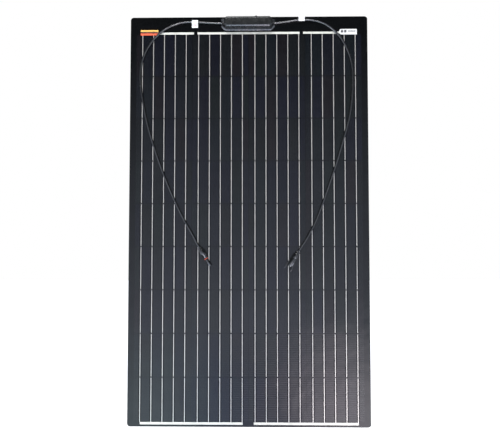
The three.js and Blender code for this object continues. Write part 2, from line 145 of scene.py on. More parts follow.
# Where its line is straight, as distances along the coupler from the nut's joint.
LEAD_TAIL = (-9, 0, 9.7)
LEFT_ROUTE = [
    (-74, -7.5, 564.5), (-91.3, -7.3, 565.4), (-110.2, -6.3, 566.6), (-128.9, -6, 567.9),
    (-142.7, -6, 568.7), (-161.4, -6, 569.5), (-175.9, -6, 569), (-192.4, -6, 566.9),
    (-222.5, -6, 556.1), (-246.6, -6, 541.1), (-268.7, -6, 518.5), (-286, -6, 491.6),
    (-295.9, -6, 469.3), (-301.5, -6, 447.1), (-303.5, -6, 424), (-302.3, -6, 400.5),
    (-299.3, -6, 370.4), (-293.2, -6, 334.1), (-284.3, -6, 290.7), (-271, -6, 242.6),
    (-254.7, -6, 192.5), (-235.6, -6, 140.2), (-215.1, -6, 90.5), (-194.9, -6.8, 46.7),
    (-173.8, -8.6, 6.2), (-155.2, -10.8, -25.4),
]
RIGHT_ROUTE = [
    (71.6, -7.5, 564.5), (85.7, -7.3, 565.8), (101, -6.5, 567.9), (119.8, -6, 570.9), (138.2, -6, 573.3),
    (159.3, -6, 574.1), (180.9, -6, 572.1), (206.7, -6, 565), (225.4, -6, 554.7), (241.7, -6, 541.3),
    (256, -6, 525.1), (267.8, -6, 505.7), (277.7, -6, 483.7), (284.8, -6, 462.3), (288.7, -6, 437.9),
    (289.4, -6, 411.1), (288.9, -6, 380.9), (286, -6, 346.5), (280.8, -6, 310), (270.9, -6, 267.8),
    (257.9, -6, 222.6), (244.6, -6, 178.1), (230.7, -6, 135.9), (215.5, -6, 92.7), (199.8, -6.4, 48.3),
    (182.8, -8, 7.1), (162.4, -10.6, -32.4),
]


# ---------------------------------------------------------------- measures from the frame

def span(node):
    """The lowest and highest corners of a CAD node, in millimetres."""
    low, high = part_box(node)
    return Vector(low) / MM, Vector(high) / MM


def row_middle(row):
    low, high = span(f"cell_row_{row}")
    return (low.z + high.z) / 2


def joint_place(name):
    """A hinge's point in millimetres and its axis."""
    return Vector(JOINTS[name]["pos_m"]) / MM, Vector(JOINTS[name]["axis"])


def stand_in(piece, body, node):
    """Makes a piece ride on a body in the place of a CAD node."""
    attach(piece, body)
    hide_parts(node)


def bend_with_rows(piece, number, lower=None):
    """Bakes a piece's placement into its mesh; the lower end that it works out is not used."""
    if lower is None:
        lower = row_middle(number + 1)
    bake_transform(piece)


# ---------------------------------------------------------------- making meshes

def finish_object(name, mesh, materials, sharp_angle=SHARP_ANGLE):
    for item in materials:
        mesh.materials.append(item)
    mesh.shade_smooth()
    mesh.set_sharp_from_angle(angle=math.radians(sharp_angle))
    made = bpy.data.objects.new(name, mesh)
    bpy.context.scene.collection.objects.link(made)
    return made


def from_bmesh(name, bm, materials, sharp_angle=SHARP_ANGLE, transform=None):
    """An object from a bmesh drawn in millimetres, moved by transform first if there is one."""
    if transform is not None:
        bm.transform(transform)
    bmesh.ops.recalc_face_normals(bm, faces=bm.faces)
    bm.transform(Matrix.Scale(MM, 4))
    mesh = bpy.data.meshes.new(name)
    bm.to_mesh(mesh)
    bm.free()
    return finish_object(name, mesh, materials, sharp_angle)


def add_loft(bm, rings, caps=True, material=0):
    """Skins a list of rings of points, all of one length, and caps its two ends."""
    made = [[bm.verts.new(point) for point in ring] for ring in rings]
    count = len(rings[0])
    for near, far in zip(made, made[1:]):
        for i in range(count):
            j = (i + 1) % count
            face = bm.faces.new((near[i], near[j], far[j], far[i]))
            face.material_index = material
    if caps:
        bm.faces.new(made[0][::-1]).material_index = material
        bm.faces.new(made[-1]).material_index = material


def add_box(bm, low, high, material=0):
    """A box between two corners."""
    (x0, y0, z0), (x1, y1, z1) = low, high
    ring = [(x0, y0), (x1, y0), (x1, y1), (x0, y1)]
    add_loft(bm, [[(x, y, z) for x, y in ring] for z in (z0, z1)], material=material)


def merge(bm):
    """Joins the points of a bmesh that lie on each other."""
    bmesh.ops.remove_doubles(bm, verts=bm.verts, dist=0.001)


def join(bm, part):
    """Adds the bmesh part to another, and frees it."""
    spare = bpy.data.meshes.new("spare")
    part.to_mesh(spare)
    part.free()
    bm.from_mesh(spare)
    bpy.data.meshes.remove(spare)


def turns(count):
    """Evenly spaced angles of a whole turn."""
    return [2 * math.pi * i / count for i in range(count)]


def turned(profile, sides=40):
    """A bmesh of a profile of (radius, distance along +y), turned about the y axis."""
    bm = bmesh.new()
    add_loft(bm, [
        [(radius * math.cos(turn), along, radius * math.sin(turn)) for turn in turns(sides)]
        for radius, along in profile
    ], caps=False)
    merge(bm)
    return bm


def bevelled(bm, width, segments=3, angle=25):
    """Rounds every edge that turns by more than the angle."""
    limit = math.radians(angle)
    edges = [e for e in bm.edges if len(e.link_faces) == 2 and e.calc_face_angle() > limit]
    bmesh.ops.bevel(bm, geom=edges, offset=width, segments=segments, profile=0.6, affect="EDGES")


# ---------------------------------------------------------------- materials

def fill_ramp(ramp, stops):
    """Gives a colour ramp its stops of (position, colour)."""
    while len(ramp.elements) < len(stops):
        ramp.elements.new(0.5)
    for element, (position, colour) in zip(ramp.elements, stops):
        element.position = position
        element.color = (*colour, 1)


def map_range(tree, source, low, high, to_low=0, to_high=1):
    made = tree.nodes.new("ShaderNodeMapRange")
    for socket, value in zip(made.inputs[1:5], (low, high, to_low, to_high)):
        socket.default_value = value
    tree.links.new(source, made.inputs[0])
    return made.outputs[0]


class Finish:
    """A node material built step by step around one Principled shader."""

    def __init__(self, name, colour=(0.5, 0.5, 0.5), roughness=0.5, metallic=0.0, **sockets):
        self.material = bpy.data.materials.new(name)
        self.material.use_nodes = True
        self.tree = self.material.node_tree
        self.shader = self.tree.nodes["Principled BSDF"]
        self.shader.inputs["Base Color"].default_value = (*colour, 1)
        self.shader.inputs["Roughness"].default_value = roughness
        self.shader.inputs["Metallic"].default_value = metallic
        for socket, value in sockets.items():
            self.shader.inputs[socket.replace("_", " ")].default_value = value

    def node(self, kind, **settings):
        made = self.tree.nodes.new("ShaderNode" + kind)
        for key, value in settings.items():
            setattr(made, key, value)
        return made

    def link(self, source, target):
        self.tree.links.new(source, target)

    def math(self, operation, first, second=0.0):
        made = self.node("Math", operation=operation)
        for socket, value in zip(made.inputs, (first, second)):
            if isinstance(value, (int, float)):
                socket.default_value = value
            else:
                self.link(value, socket)
        return made.outputs[0]

    def bands(self, metres, pitch, share):
        """1 in the first share of every pitch, in mm, along a distance, and 0 in the rest."""
        place = self.math("FRACT", self.math("MULTIPLY", metres, 1 / (pitch * MM)))
        return self.math("LESS_THAN", place, share)

    def coordinates(self, uv=False, scale=(1, 1, 1)):
        place = self.node("TexCoord")
        mapping = self.node("Mapping")
        mapping.inputs["Scale"].default_value = scale
        self.link(place.outputs["UV" if uv else "Object"], mapping.inputs["Vector"])
        return mapping.outputs[0]

    def noise(self, where, scale, detail=2.0, roughness=0.5):
        made = self.node("TexNoise")
        made.inputs["Scale"].default_value = scale
        made.inputs["Detail"].default_value = detail
        made.inputs["Roughness"].default_value = roughness
        self.link(where, made.inputs["Vector"])
        return made.outputs["Fac"]

    def ramp(self, factor, stops):
        made = self.node("ValToRGB")
        fill_ramp(made.color_ramp, stops)
        self.link(factor, made.inputs["Fac"])
        return made.outputs["Color"]

    def mix(self, factor, first, second, blend="MIX"):
        made = self.node("Mix", data_type="RGBA", blend_type=blend)
        sockets = (made.inputs[0], made.inputs[6], made.inputs[7])
        for socket, value in zip(sockets, (factor, first, second)):
            if isinstance(value, (int, float)):
                socket.default_value = value
            elif isinstance(value, tuple):
                socket.default_value = (*value, 1)
            else:
                self.link(value, socket)
        return made.outputs[2]

    def range(self, value, low, high, to_low, to_high):
        return map_range(self.tree, value, low, high, to_low, to_high)

    def colour(self, source):
        self.link(source, self.shader.inputs["Base Color"])

    def roughness(self, source):
        self.link(source, self.shader.inputs["Roughness"])

    def bump(self, height, strength, distance, after=None):
        made = self.node("Bump")
        made.inputs["Strength"].default_value = strength
        made.inputs["Distance"].default_value = distance * MM
        self.link(height, made.inputs["Height"])
        if after is not None:
            self.link(after, made.inputs["Normal"])
        self.link(made.outputs[0], self.shader.inputs["Normal"])
        return made.outputs[0]


def film_texture(finish, where):
    """The embossed front film: a fine pebbled skin over a slow unevenness."""
    pebbles = finish.node("TexVoronoi", feature="SMOOTH_F1")
    pebbles.inputs["Scale"].default_value = 900
    finish.link(where, pebbles.inputs["Vector"])
    slow = finish.noise(where, 9, detail=3)
    first = finish.bump(slow, 0.2, 5)
    finish.bump(pebbles.outputs["Distance"], 0.2, 0.05, after=first)
    finish.roughness(finish.range(finish.noise(where, 40, detail=4), 0.3, 0.7, 0.09, 0.13))


def film_finish(name, scale, detail, dark, light, **sockets):
    """Something under the film, or the film itself, whose colour drifts between two tones."""
    finish = Finish(name, **sockets)
    where = finish.coordinates(uv=True)
    drift = finish.noise(where, scale, detail)
    finish.colour(finish.ramp(drift, [(0.3, dark), (0.7, light)]))
    film_texture(finish, where)
    return finish.material


def cell_film():
    """Cells under the film, with a tone for each part, slow clouds and fine grid lines across."""
    finish = Finish("cell_film", IOR=1.4)
    where = finish.coordinates(uv=True)
    tone = finish.node("VertexColor", layer_name="tone")
    clouds = finish.noise(finish.coordinates(uv=True, scale=(1, 0.25, 1)), 30, detail=4)
    shaded = finish.mix(1.0, tone.outputs["Color"], finish.ramp(clouds, [
        (0.25, (0.72, 0.74, 0.78)), (0.75, (1.25, 1.22, 1.18)),
    ]), "MULTIPLY")
    split = finish.node("SeparateXYZ")
    finish.link(where, split.inputs[0])
    across, up = split.outputs[0], split.outputs[1]
    line = finish.bands(up, GRID_PITCH, GRID_SHARE)
    lined = finish.mix(finish.math("MULTIPLY", line, 0.5), shaded, (0.05, 0.052, 0.056))
    stripe = finish.bands(up, STRIPE_PITCH, 0.5)
    low = finish.range(up, -0.2, -0.45, 0.0, STRIPE_WEIGHT)
    right = finish.range(across, -0.1, 0.15, 0.15, 1.0)
    weight = finish.math("MULTIPLY", stripe, finish.math("MULTIPLY", low, right))
    finish.colour(finish.mix(weight, lined, (0.06, 0.056, 0.06)))
    film_texture(finish, where)
    return finish.material


def ribbon_metal():
    finish = Finish("ribbon_metal", metallic=0.35, IOR=1.4)
    where = finish.coordinates(uv=True, scale=(1, 0.12, 1))
    streaks = finish.noise(where, 600, detail=3)
    finish.colour(finish.ramp(streaks, [(0.25, (0.39, 0.377, 0.35)), (0.75, (0.49, 0.472, 0.44))]))
    film_texture(finish, finish.coordinates(uv=True))
    return finish.material


def board_black():
    """Glass-fibre board with the print of its cloth."""
    finish = Finish("board_black", IOR=1.5)
    where = finish.coordinates(uv=True)
    weave = finish.node("TexWave", wave_type="BANDS", bands_direction="DIAGONAL")
    weave.inputs["Scale"].default_value = 160
    weave.inputs["Distortion"].default_value = 1.5
    finish.link(where, weave.inputs["Vector"])
    finish.bump(weave.outputs["Fac"], 0.2, 0.08)
    drift = finish.noise(where, 11, detail=6)
    finish.colour(finish.ramp(drift, [(0.3, (0.010, 0.010, 0.011)), (0.7, (0.017, 0.017, 0.018))]))
    finish.roughness(finish.range(drift, 0.3, 0.7, 0.48, 0.62))
    return finish.material


def moulded(name, drift, dark, light, rough, grain, stops=(0.3, 0.7), **sockets):
    """A surface that drifts slowly in colour and roughness, with a fine grain. drift is the (scale, detail)
    of its noise, rough the ends of its roughness, grain the (scale, detail, strength, mm) of its bump."""
    finish = Finish(name, **sockets)
    where = finish.coordinates()
    slow = finish.noise(where, *drift)
    finish.colour(finish.ramp(slow, list(zip(stops, (dark, light)))))
    finish.roughness(finish.range(slow, 0.3, 0.7, *rough))
    scale, detail, strength, depth = grain
    finish.bump(finish.noise(where, scale, detail), strength, depth)
    return finish.material


def black_plastic(name, tone, grain, rough, ior):
    """Fine-grained black plastic. grain is the noise scale of its texture."""
    dark = tuple(0.8 * c for c in tone)
    light = tuple(1.3 * c for c in tone)
    return moulded(name, (grain / 14, 4), dark, light, rough, (grain, 3, 0.3, 0.12), IOR=ior)


def plated_metal():
    finish = Finish("plated_metal", metallic=1.0)
    drift = finish.noise(finish.coordinates(), 700, detail=4)
    finish.colour(finish.ramp(drift, [(0.3, (0.56, 0.55, 0.52)), (0.7, (0.72, 0.71, 0.67))]))
    finish.roughness(finish.range(drift, 0.3, 0.7, 0.25, 0.42))
    return finish.material


def paper(name, tone, mark=None):
    """Matt paper with a little fibre. mark is the place of a faint pink smudge on it."""
    finish = Finish(name, roughness=0.75, IOR=1.4)
    where = finish.coordinates()
    fibre = finish.noise(where, 500, detail=5)
    shade = tuple(0.96 * c for c in tone)
    colour = finish.ramp(fibre, [(0.3, shade), (0.7, tone)])
    if mark is not None:
        shift = finish.node("VectorMath", operation="DISTANCE")
        finish.link(finish.node("TexCoord").outputs["Object"], shift.inputs[0])
        shift.inputs[1].default_value = [c * MM for c in mark]
        near = finish.range(shift.outputs["Value"], 0.001, 0.0035, 0.5, 0.0)
        colour = finish.mix(near, colour, (0.85, 0.35, 0.33))
    finish.colour(colour)
    finish.bump(finish.noise(where, 260, detail=4), 0.12, 0.06)
    return finish.material


def ink(name, tone):
    """Printed ink with a little loss."""
    finish = Finish(name, roughness=0.5, IOR=1.45)
    where = finish.coordinates()
    wear = finish.noise(where, 1200, detail=5)
    faded = tuple(min(1, c * 1.25 + 0.01) for c in tone)
    finish.colour(finish.ramp(wear, [(0.45, tone), (0.8, faded)]))
    return finish.material


def resin():
    finish = Finish("resin", roughness=0.16, IOR=1.52)
    where = finish.coordinates()
    drift = finish.noise(where, 90, detail=2)
    finish.colour(finish.ramp(drift, [(0.3, (0.007, 0.007, 0.008)), (0.7, (0.014, 0.014, 0.016))]))
    finish.bump(drift, 0.3, 0.6)
    return finish.material


BLACK_FILM = film_finish("black_film", 14, 5, (0.0006, 0.0009, 0.0010), (0.0013, 0.0016, 0.0017), IOR=1.4)
# Painted shade: a strip of film beside each ribbon, drawn darker and given a low IOR so that it mirrors
# less.
FLANK_SHADE_FILM = film_finish("flank_shade_film", 20, 3, (0.0008, 0.0010, 0.0035), (0.0012, 0.0018, 0.0048), IOR=1.22)
BUS_METAL = film_finish("bus_metal", 60, 5, (0.60, 0.60, 0.54), (0.78, 0.78, 0.72), metallic=0.1, IOR=1.5)
CELL_FILM = cell_film()
RIBBON_METAL = ribbon_metal()
BOARD_BLACK = board_black()
BOX_PLASTIC = black_plastic("box_plastic", (0.0062, 0.0070, 0.0068), 1100, (0.22, 0.3), 1.46)
COUPLER_PLASTIC = black_plastic("coupler_plastic", (0.0045, 0.0048, 0.0050), 1600, (0.07, 0.12), 1.58)
SOFT_RUBBER = black_plastic("soft_rubber", (0.012, 0.012, 0.012), 900, (0.6, 0.75), 1.46)
SEALANT_GLOSS = moulded(
    "sealant_gloss", (160, 2), (0.009, 0.010, 0.011), (0.028, 0.030, 0.032), (0.14, 0.3),
    (420, 2, 0.25, 0.3), IOR=1.5, Coat_Weight=1.0, Coat_Roughness=0.08,
)
RED_RUBBER = moulded(
    "red_rubber", (500, 3), (0.50, 0.055, 0.022), (0.72, 0.11, 0.05), (0.35, 0.5), (2500, 2, 0.1, 0.04),
    IOR=1.45,
)
CABLE_JACKET = moulded(
    "cable_jacket", (220, 5), (0.0028, 0.0030, 0.0028), (0.0065, 0.0068, 0.0062), (0.2, 0.28),
    (1500, 2, 0.12, 0.05), stops=(0.35, 0.75), IOR=1.68,
)
PLATED_METAL = plated_metal()
RESIN = resin()


# ---------------------------------------------------------------- camera, light and floor

def make_camera():
    data = bpy.data.cameras.new("camera")
    data.lens = CAMERA_LENS
    data.clip_end = 100
    camera = bpy.data.objects.new("camera", data)
    camera.location = [c * MM for c in CAMERA_PLACE]
    camera.rotation_euler = CAMERA_TURN
    bpy.context.scene.collection.objects.link(camera)
    bpy.context.scene.camera = camera


def glow(tree, split):
    """How the room's low part differs from left to right, and plain above it."""
    sideways = tree.nodes.new("ShaderNodeValToRGB")
    stops = [((place + 1) / 2, [c / GLOW_PEAK for c in tint]) for place, tint in GLOW]
    fill_ramp(sideways.color_ramp, stops)
    tree.links.new(map_range(tree, split.outputs[0], -1, 1), sideways.inputs["Fac"])
    mixed = tree.nodes.new("ShaderNodeMix")
    mixed.data_type = "RGBA"
    mixed.inputs[6].default_value = (1 / GLOW_PEAK, 1 / GLOW_PEAK, 1 / GLOW_PEAK, 1)
    tree.links.new(map_range(tree, split.outputs[2], *GLOW_HEIGHTS), mixed.inputs[0])
    tree.links.new(sideways.outputs["Color"], mixed.inputs[7])
    return mixed.outputs[2]


def room_light(tree):
    """The room's gradient by height, with its glow."""
    place = tree.nodes.new("ShaderNodeTexCoord")
    split = tree.nodes.new("ShaderNodeSeparateXYZ")
    tree.links.new(place.outputs["Generated"], split.inputs[0])
    ramp = tree.nodes.new("ShaderNodeValToRGB")
    tint = [c / max(ROOM_TINT) for c in ROOM_TINT]
    stops = [((height + 1) / 2, [value / ROOM_PEAK * c for c in tint]) for height, value in ROOM]
    fill_ramp(ramp.color_ramp, stops)
    tree.links.new(map_range(tree, split.outputs[2], -1, 1), ramp.inputs["Fac"])
    both = tree.nodes.new("ShaderNodeMix")
    both.data_type = "RGBA"
    both.blend_type = "MULTIPLY"
    both.inputs[0].default_value = 1
    tree.links.new(ramp.outputs["Color"], both.inputs[6])
    tree.links.new(glow(tree, split), both.inputs[7])
    room = tree.nodes.new("ShaderNodeBackground")
    room.inputs["Strength"].default_value = ROOM_PEAK * max(ROOM_TINT) * GLOW_PEAK
    tree.links.new(both.outputs[2], room.inputs["Color"])
    return room.outputs[0]


def make_world():
    """White to the camera, and the room's light to everything else."""
    world = bpy.data.worlds.new("studio")
    world.use_nodes = True
    tree = world.node_tree
    tree.nodes.clear()
    plain = tree.nodes.new("ShaderNodeBackground")
    plain.inputs["Color"].default_value = (1, 1, 1, 1)
    path = tree.nodes.new("ShaderNodeLightPath")
    choose = tree.nodes.new("ShaderNodeMixShader")
    tree.links.new(path.outputs["Is Camera Ray"], choose.inputs["Fac"])
    tree.links.new(room_light(tree), choose.inputs[1])
    tree.links.new(plain.outputs[0], choose.inputs[2])
    output = tree.nodes.new("ShaderNodeOutputWorld")
    tree.links.new(choose.outputs[0], output.inputs["Surface"])
    bpy.context.scene.world = world


def make_light(name, place, target, size, watts):
    """A rectangular light at a place in metres, aimed at a target."""
    data = bpy.data.lights.new(name, "AREA")
    data.shape = "RECTANGLE"
    data.size, data.size_y = size
    data.energy = watts
    light = bpy.data.objects.new(name, data)
    light.location = place
    aim = Vector(target) - Vector(place)
    light.rotation_euler = aim.to_track_quat("-Z", "Y").to_euler()
    bpy.context.scene.collection.objects.link(light)


def make_floor():
    """A wide pale floor that the sheet stands on."""
    top = cad_bounds[0][2] / MM - 0.05
    bm = bmesh.new()
    add_box(bm, (-FLOOR_REACH, -FLOOR_REACH, top - FLOOR_THICKNESS), (FLOOR_REACH, FLOOR_REACH, top))
    finish = Finish("floor_white", roughness=0.9, Emission_Color=(1, 1, 1, 1), Emission_Strength=0.9)
    drift = finish.noise(finish.coordinates(), 3, detail=4)
    finish.colour(finish.ramp(drift, [(0.3, (0.93, 0.93, 0.93)), (0.7, (0.95, 0.95, 0.95))]))
    floor = from_bmesh("floor", bm, [finish.material])
    floor.visible_glossy = False


make_camera()
make_world()
make_light("top_light", TOP_LIGHT_PLACE, TOP_LIGHT_TARGET, TOP_LIGHT_SIZE, TOP_LIGHT_WATTS)
make_floor()
bpy.context.scene.view_settings.view_transform = "Standard"


# ---------------------------------------------------------------- leads

def smooth_line(points, per_span=10):
    """A centripetal Catmull-Rom curve through the points."""
    points = [Vector(p) for p in points]
    ends = [2 * points[0] - points[1], *points, 2 * points[-1] - points[-2]]
    line = []
    for p0, p1, p2, p3 in zip(ends, ends[1:], ends[2:], ends[3:]):
        t0 = 0.0
        t1 = t0 + math.sqrt((p1 - p0).length)
        t2 = t1 + math.sqrt((p2 - p1).length)
        t3 = t2 + math.sqrt((p3 - p2).length)
        for step in range(per_span):
            t = t1 + (t2 - t1) * step / per_span
            a1 = p0.lerp(p1, (t - t0) / (t1 - t0))
            a2 = p1.lerp(p2, (t - t1) / (t2 - t1))
            a3 = p2.lerp(p3, (t - t2) / (t3 - t2))
            b1 = a1.lerp(a2, (t - t0) / (t2 - t0))
            b2 = a2.lerp(a3, (t - t1) / (t3 - t1))
            line.append(b1.lerp(b2, (t - t1) / (t2 - t1)))
    line.append(points[-1])
    return line


def tube_rings(line, radius, sides):
    """Round sections square to a line, turned as little as possible from one to the next."""
    across = Vector((0, -1, 0))
    rings = []
    for i, point in enumerate(line):
        along = (line[min(i + 1, len(line) - 1)] - line[max(i - 1, 0)]).normalized()
        across = (across - along * across.dot(along)).normalized()
        third = along.cross(across)
        rings.append([point + radius * (math.cos(t) * across + math.sin(t) * third) for t in turns(sides)])
    return rings


def cut_heights(line, heights):
    """Puts a point on the line at each height that it comes down through. Returns the line and the numbers
    of those points."""
    out, places = [line[0]], []
    left = sorted(heights, reverse=True)
    for a, b in zip(line, line[1:]):
        while left and b.z <= left[0] < a.z:
            if a.z - left[0] > 1e-6:
                out.append(a.lerp(b, (a.z - left[0]) / (a.z - b.z)))
            places.append(len(out) - 1)
            left.pop(0)
        if (b - out[-1]).length > 1e-6:
            out.append(b)
    return out, places


def make_lead(side, route):
    """A lead in stretches, from the middle of one row to the middle of the next. They lie end to end."""
    origin, axis = joint_place(f"{side}_nut_turn")
    tail = [origin + axis * distance for distance in LEAD_TAIL]
    line = smooth_line([*route, *tail])
    middles = [row_middle(row) for row in range(2, 6)]
    line, places = cut_heights(line, middles)
    rings = tube_rings(line, LEAD_RADIUS, LEAD_SIDES)
    stops = [0, *places, len(line) - 1]
    for number, (start, end) in enumerate(zip(stops, stops[1:]), 1):
        bm = bmesh.new()
        add_loft(bm, rings[start:end + 1])
        lead = from_bmesh(f"lead_{side}_{number}", bm, [CABLE_JACKET])
        is_last = end == len(line) - 1
        bend_with_rows(lead, number, origin.z + ABOVE_NUT if is_last else None)
        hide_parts(f"lead_{side}")


# ---------------------------------------------------------------- the laminate

SHEET_LOW, SHEET_HIGH = span("front_film_9")[0], span("front_film_1")[1]
HALF_WIDTH = SHEET_HIGH.x


def half_width_at(z):
    """Half the width of the sheet at a height, less in its rounded corners."""
    inside = max(z - (SHEET_HIGH.z - CORNER_RADIUS), (SHEET_LOW.z + CORNER_RADIUS) - z, 0)
    return HALF_WIDTH - CORNER_RADIUS + math.sqrt(max(CORNER_RADIUS ** 2 - inside ** 2, 0))


def heights_between(low, high):
    """Evenly spaced heights, closer together in a rounded corner."""
    count = max(2, math.ceil((high - low) / SLICE) + 1)
    heights = [low + (high - low) * i / (count - 1) for i in range(count)]
    for corner, direction in ((SHEET_HIGH.z, -1), (SHEET_LOW.z, 1)):
        for step in range(1, 8):
            z = corner + direction * CORNER_RADIUS * (1 - math.cos(math.pi / 2 * step / 8))
            if low < z < high:
                heights.append(z)
    return sorted(set(round(z, 4) for z in heights))


def flat_uv(mesh):
    """A UV map of plain x and z in metres, which stays with the surface when it bends."""
    layer = mesh.uv_layers.new(name="Flat")
    for loop in mesh.loops:
        place = mesh.vertices[loop.vertex_index].co
        layer.data[loop.index].uv = (place.x, place.z)


def slab_rings(low, high, back, front, round_front):
    """Sections of a flat sheet with either its front edges or its back edges taken off."""
    front_edge = EDGE_ROUND if round_front else 0
    back_edge = 0 if round_front else EDGE_ROUND
    rings = []
    for z in heights_between(low, high):
        half = half_width_at(z)
        flat = half - front_edge
        inner = flat - EDGE_MARGIN
        rings.append([
            (-half + back_edge, -back, z), (half - back_edge, -back, z), (half, -back - back_edge, z),
            (half, -front + front_edge, z), (flat, -front, z), (inner, -front, z),
            (-inner, -front, z), (-flat, -front, z), (-half, -front + front_edge, z),
            (-half, -back - back_edge, z),
        ])
    return rings


def zone(number):
    """The stretch of sheet over one hinge, from the middle of a row to the middle of the next."""
    high = SHEET_HIGH.z if number == 1 else row_middle(number)
    low = SHEET_LOW.z if number == ROWS - 1 else row_middle(number + 1)
    return low, high


def laminate_piece(kind, number, bm, materials, node=None, sharp_angle=SHARP_ANGLE):
    """A layer of a zone, in place of the node's two rows."""
    piece = from_bmesh(f"{kind}_{number}", bm, materials, sharp_angle)
    flat_uv(piece.data)
    bend_with_rows(piece, number)
    if node is not None:
        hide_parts(f"{node}_{number}", f"{node}_{number + 1}")


def make_slab(kind, number, back, front, material, node, round_front=False):
    """The board or the film of a zone, standing in place of the CAD nodes named by node."""
    low, high = zone(number)
    bm = bmesh.new()
    add_loft(bm, slab_rings(low, high, back, front, round_front))
    laminate_piece(kind, number, bm, [material], node, sharp_angle=60)


# Nearly black tones of the cells, some bluer, greener or redder than others.
TONES = [
    (0.0018, 0.0026, 0.0040), (0.0030, 0.0021, 0.0030), (0.0018, 0.0034, 0.0032),
    (0.0014, 0.0018, 0.0054), (0.0020, 0.0027, 0.0030), (0.0016, 0.0030, 0.0042),
    (0.0016, 0.0022, 0.0048),
]


def row_part(row, number):
    """The part of a row of cells that lies in a zone: (low, high)."""
    low, high = span(f"cell_row_{row}")
    zone_low, zone_high = zone(number)
    return max(low.z, zone_low), min(high.z, zone_high)


def column_middle(column):
    return (column - (COLUMNS - 1) / 2) * COLUMN_PITCH


def ribbon_places(column):
    """The middles of a column's ribbons, from left to right."""
    middle = column_middle(column)
    first = -(RIBBONS_PER_CELL - 1) / 2
    return [middle + (first + k) * RIBBON_PITCH for k in range(RIBBONS_PER_CELL)]


def add_strip(bm, west, east, front, heights, material=0):
    """A thin strip on the face of the film, with a section at each height."""
    ring = [(west, -FILM_FRONT), (east, -FILM_FRONT), (east, -front), (west, -front)]
    add_loft(bm, [[(x, y, z) for x, y in ring] for z in heights], material=material)


def make_cells(number):
    """The cells of a zone, each cut along its ribbons so that every part has its own tone."""
    bm = bmesh.new()
    tone_layer = bm.loops.layers.float_color.new("tone")
    for row in (number, number + 1):
        low, high = row_part(row, number)
        heights = heights_between(low, high)
        for column in range(COLUMNS):
            middle = column_middle(column)
            edges = [middle - CELL_WIDTH / 2, *ribbon_places(column), middle + CELL_WIDTH / 2]
            chooser = random.Random(100 * row + column)
            for west, east in zip(edges, edges[1:]):
                tone = chooser.choice(TONES)
                lift = chooser.uniform(0.85, 1.15)
                before = len(bm.faces)
                add_strip(bm, west, east, CELL_FRONT, heights)
                bm.faces.ensure_lookup_table()
                for face in bm.faces[before:]:
                    for loop in face.loops:
                        loop[tone_layer] = (*(c * lift for c in tone), 1)
    laminate_piece("cells", number, bm, [CELL_FILM], "cell_row")


def make_ribbons(number):
    """The bright ribbons of a zone, each over a wider dark flank of painted shade. They stop just short of
    each other where two rows meet."""
    top_bus, bottom_bus = span("bus_ribbon_top_middle"), span("bus_ribbon_bottom_left")
    # The wider strip under each ribbon is a dark flank of painted shade.
    strips = [(RIBBON_WIDTH, RIBBON_FRONT), (FLANK_WIDTH, FLANK_FRONT)]
    bm = bmesh.new()
    for row in (number, number + 1):
        low, high = row_part(row, number)
        row_low, row_high = (corner.z for corner in span(f"cell_row_{row}"))
        if high == row_high:
            high = top_bus[0].z if row == 1 else high - RIBBON_BREAK / 2
        if low == row_low:
            low = bottom_bus[1].z if row == ROWS else low + RIBBON_BREAK / 2
        heights = heights_between(low, high)
        for column in range(COLUMNS):
            for x in ribbon_places(column):
                for material, (width, front) in enumerate(strips):
                    add_strip(bm, x - width / 2, x + width / 2, front, heights, material)
    laminate_piece("ribbons", number, bm, [RIBBON_METAL, FLANK_SHADE_FILM])


def make_bus(node, row):
    low, high = span(node)
    bm = bmesh.new()
    add_box(bm, (low.x, -RIBBON_FRONT, low.z), (high.x, -FILM_FRONT, high.z))
    piece = from_bmesh(node.replace("bus_ribbon", "bus"), bm, [BUS_METAL])
    flat_uv(piece.data)
    stand_in(piece, row, node)


def make_laminate():
    for number in range(1, ROWS):
        make_slab("board", number, 0, BOARD_FRONT, BOARD_BLACK, "backsheet")
        make_slab("film", number, BOARD_FRONT, FILM_FRONT, BLACK_FILM, "front_film", round_front=True)
        make_cells(number)
        make_ribbons(number)
    for side in ("left", "middle", "right"):
        make_bus(f"bus_ribbon_top_{side}", "row_1")
    for side in ("left", "right"):
        make_bus(f"bus_ribbon_bottom_{side}", "row_9")


# ---------------------------------------------------------------- junction box

BOX_CHAMFER = 7
BOX_WALL = 2
BOX_FLOOR = 1.5
LID_EDGE = 0.9
LID_BEVEL = 4.2
TAB_MIDDLE = 21
SKIRT_INSET = 2.3
SKIRT_WALL = 1.2
SKIRT_DEPTH = 3.3


def octagon(low, high, inset, depth, cut):
    """A section of a box with cut corners at a depth, drawn in by inset."""
    west, east = low.x + inset, high.x - inset
    bottom, top = low.z + inset, high.z - inset
    corners = [
        (east, top - cut), (east - cut, top), (west + cut, top), (west, top - cut),
        (west, bottom + cut), (west + cut, bottom), (east - cut, bottom), (east, bottom + cut),
    ]
    return [(x, depth, z) for x, z in corners]


def make_box_base():
    """An open tray with cut corners."""
    low, high = span("junction_box_base")
    back, rim = high.y, low.y
    inner_cut = BOX_CHAMFER - 1.2
    bm = bmesh.new()
    add_loft(bm, [
        octagon(low, high, 0, back, BOX_CHAMFER), octagon(low, high, 0, rim, BOX_CHAMFER),
        octagon(low, high, BOX_WALL, rim, inner_cut),
        octagon(low, high, BOX_WALL, back - BOX_FLOOR, inner_cut),
    ])
    bmesh.ops.recalc_face_normals(bm, faces=bm.faces)
    bevelled(bm, 0.45, segments=2, angle=50)
    base = from_bmesh("box_base", bm, [BOX_PLASTIC])
    stand_in(base, "row_1", "junction_box_base")


